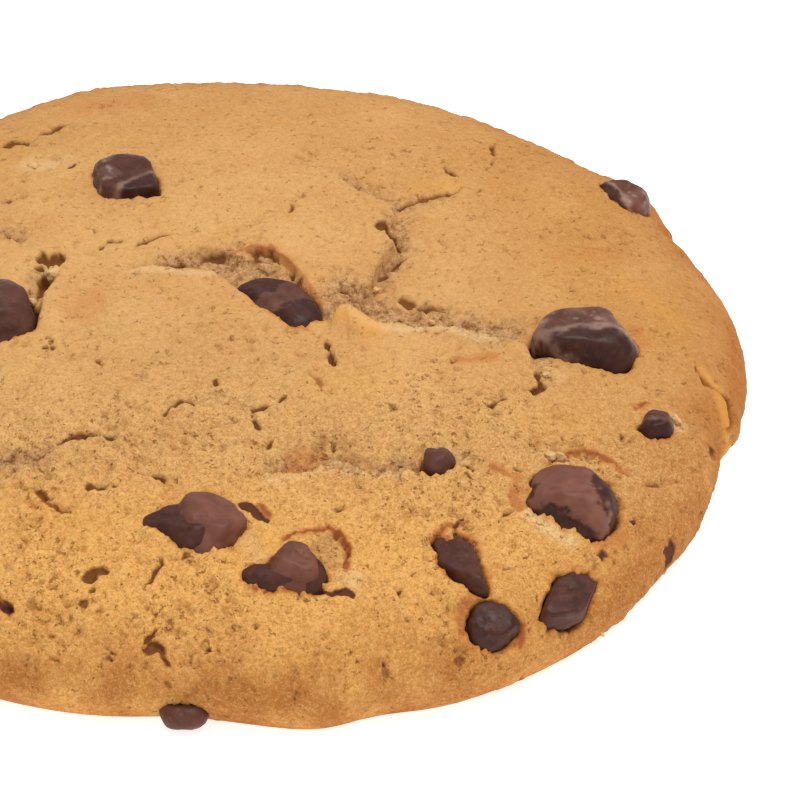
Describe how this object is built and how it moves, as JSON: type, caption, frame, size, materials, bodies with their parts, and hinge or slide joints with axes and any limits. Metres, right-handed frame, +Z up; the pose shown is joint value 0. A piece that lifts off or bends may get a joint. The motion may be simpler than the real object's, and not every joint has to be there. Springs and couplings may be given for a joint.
{
  "type": "chocolate chip cookie",
  "caption": "Round baked cookie: a low golden dome of crumbly dough with a cracked crust, an uneven browned rim, a flat base and half-sunk chocolate chips.",
  "frame": {"origin": "middle of the flat base, which the cookie rests on", "axes": "+Z up through the cookie's thickness; +X to the right and +Y to the back of the side that the camera sees"},
  "size_m": [0.0907, 0.0898, 0.0135],
  "materials": {
    "dough": "matte",
    "chocolate": "satin"
  },
  "bodies": {
    "root": {"dough": "dough", "chip_back_left": "chocolate", "chip_fissure": "chocolate", "chip_back_rim": "chocolate", "chip_right_large": "chocolate", "chip_front_left": "chocolate", "chip_small_middle": "chocolate", "chip_front_middle": "chocolate", "chip_small_right": "chocolate", "chip_right_round": "chocolate", "chip_front_long": "chocolate", "chip_front_square": "chocolate", "chip_front_slab": "chocolate", "chip_under_rim": "chocolate", "chip_left_middle": "chocolate", "chip_left_back": "chocolate", "chip_left_outer": "chocolate", "chip_left_front": "chocolate", "chip_left_small": "chocolate", "chip_left_rim": "chocolate"}
  },
  "joints": []
}
